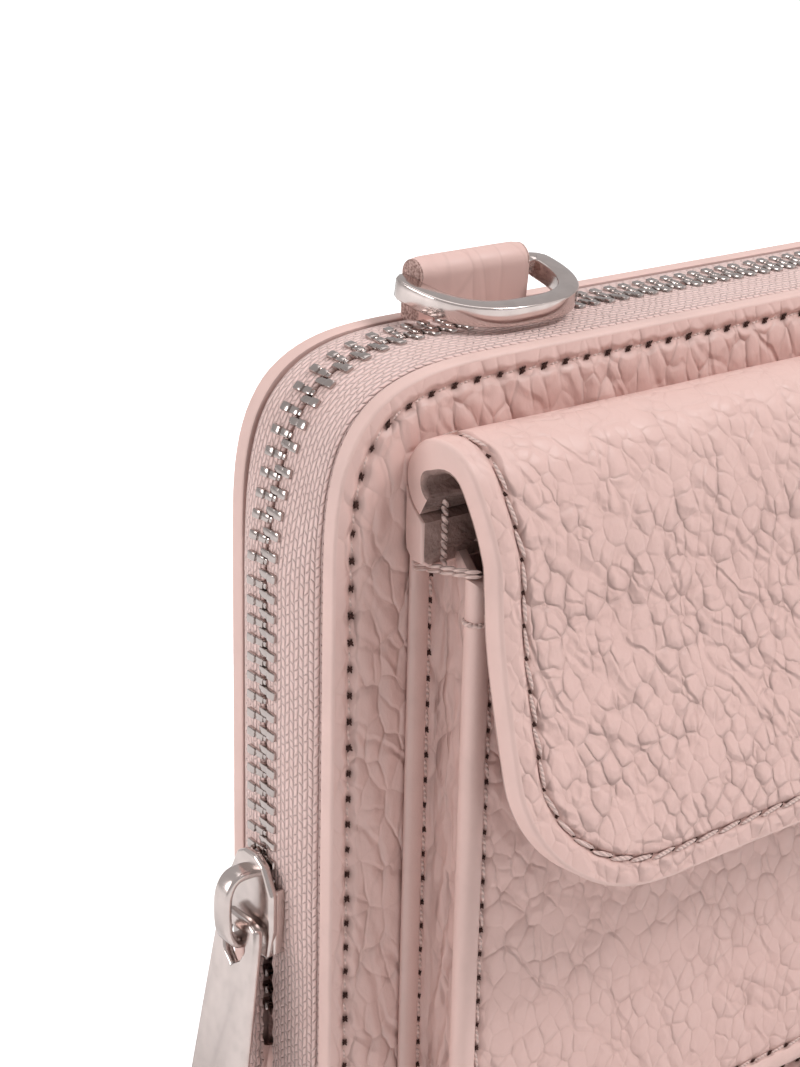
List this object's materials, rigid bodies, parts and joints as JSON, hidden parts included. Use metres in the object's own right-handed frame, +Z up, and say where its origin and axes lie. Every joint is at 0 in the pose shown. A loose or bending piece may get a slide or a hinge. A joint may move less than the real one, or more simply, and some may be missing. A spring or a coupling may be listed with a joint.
{
  "type": "crossbody wallet",
  "caption": "Leather crossbody wallet with a zip round three sides, a front flap pocket and loops for a strap",
  "frame": {"origin": "centre of the base, on the plane of the zip, at the height of the panels' lower edges", "axes": "+Z up, +X along the width to the wearer's right seen from the front, -Y towards the flap pocket at the front"},
  "size_m": [0.2112, 0.0424, 0.1328],
  "materials": {
    "back_panel": "pebbled, satin",
    "front_panel": "pebbled, satin",
    "spine_strip": "smooth, satin",
    "gusset_end_left": "smooth, satin",
    "gusset_end_right": "smooth, satin",
    "tab_left": "pebbled, satin",
    "tab_right": "pebbled, satin",
    "pocket_gusset": "pebbled, satin",
    "pocket_front": "pebbled, satin",
    "flap": "pebbled, satin",
    "flap_leg": "smooth, satin",
    "slip_pocket": "smooth, satin",
    "card_slot_left_1": "smooth, satin",
    "card_slot_left_2": "smooth, satin",
    "card_slot_left_3": "smooth, satin",
    "card_slot_right_1": "smooth, satin",
    "card_slot_right_2": "smooth, satin",
    "card_slot_right_3": "smooth, satin",
    "back_lining": "woven, matt",
    "front_lining": "woven, matt",
    "pocket_lining": "woven, matt",
    "flap_lining": "woven, matt",
    "back_zip_tape": "woven, matt",
    "front_zip_tape": "woven, matt",
    "back_teeth": "polished nickel plate",
    "front_teeth": "polished nickel plate",
    "top_stop_back": "polished nickel plate",
    "top_stop_front": "polished nickel plate",
    "bottom_stop": "polished nickel plate",
    "slider": "polished nickel plate",
    "puller": "polished nickel plate",
    "ring_left": "polished nickel plate",
    "ring_right": "polished nickel plate",
    "snap_socket": "polished nickel plate",
    "snap_stud": "polished nickel plate",
    "back_board": "plain",
    "front_board": "plain"
  },
  "bodies": {
    "back_shell": {"back_panel": "back_panel", "back_board": "back_board", "back_lining": "back_lining", "back_zip_tape": "back_zip_tape", "back_teeth": "back_teeth", "top_stop_back": "top_stop_back", "bottom_stop": "bottom_stop", "spine_strip": "spine_strip", "gusset_end_left": "gusset_end_left", "gusset_end_right": "gusset_end_right", "tab_left": "tab_left", "tab_right": "tab_right", "slip_pocket": "slip_pocket"},
    "front_shell": {"front_panel": "front_panel", "front_board": "front_board", "front_lining": "front_lining", "front_zip_tape": "front_zip_tape", "front_teeth": "front_teeth", "top_stop_front": "top_stop_front", "pocket_gusset": "pocket_gusset", "pocket_front": "pocket_front", "pocket_lining": "pocket_lining", "flap_leg": "flap_leg", "snap_socket": "snap_socket", "card_slot_left_1": "card_slot_left_1", "card_slot_left_2": "card_slot_left_2", "card_slot_left_3": "card_slot_left_3", "card_slot_right_1": "card_slot_right_1", "card_slot_right_2": "card_slot_right_2", "card_slot_right_3": "card_slot_right_3"},
    "flap": {"flap": "flap", "flap_lining": "flap_lining", "snap_stud": "snap_stud"},
    "slider": {"slider": "slider"},
    "puller": {"puller": "puller"},
    "ring_left": {"ring_left": "ring_left"},
    "ring_right": {"ring_right": "ring_right"}
  },
  "joints": [
    {"name": "spine_hinge", "type": "hinge", "parent": "back_shell", "child": "front_shell", "pos_m": [0, -0.012, 0], "axis": [1, 0, 0], "range_deg": [0, 25], "deforming": ["gusset_end_left", "gusset_end_right"]},
    {"name": "flap_hinge", "type": "hinge", "parent": "front_shell", "child": "flap", "pos_m": [0, -0.0171, 0.1126], "axis": [-1, 0, 0], "range_deg": [0, 140]},
    {"name": "zip_slide", "type": "slide", "parent": "back_shell", "child": "slider", "axis": [0, 0, 1], "range_m": [-0.0165, 0.035]},
    {"name": "puller_hinge", "type": "hinge", "parent": "slider", "child": "puller", "pos_m": [-0.104, 0, 0.0528], "axis": [0, 1, 0], "range_deg": [0, 120]},
    {"name": "ring_left_hinge", "type": "hinge", "parent": "back_shell", "child": "ring_left", "pos_m": [-0.0664, 0.0056, 0.1306], "axis": [-1, 0, 0], "range_deg": [0, 150]},
    {"name": "ring_right_hinge", "type": "hinge", "parent": "back_shell", "child": "ring_right", "pos_m": [0.0664, 0.0056, 0.1306], "axis": [-1, 0, 0], "range_deg": [0, 150]}
  ]
}
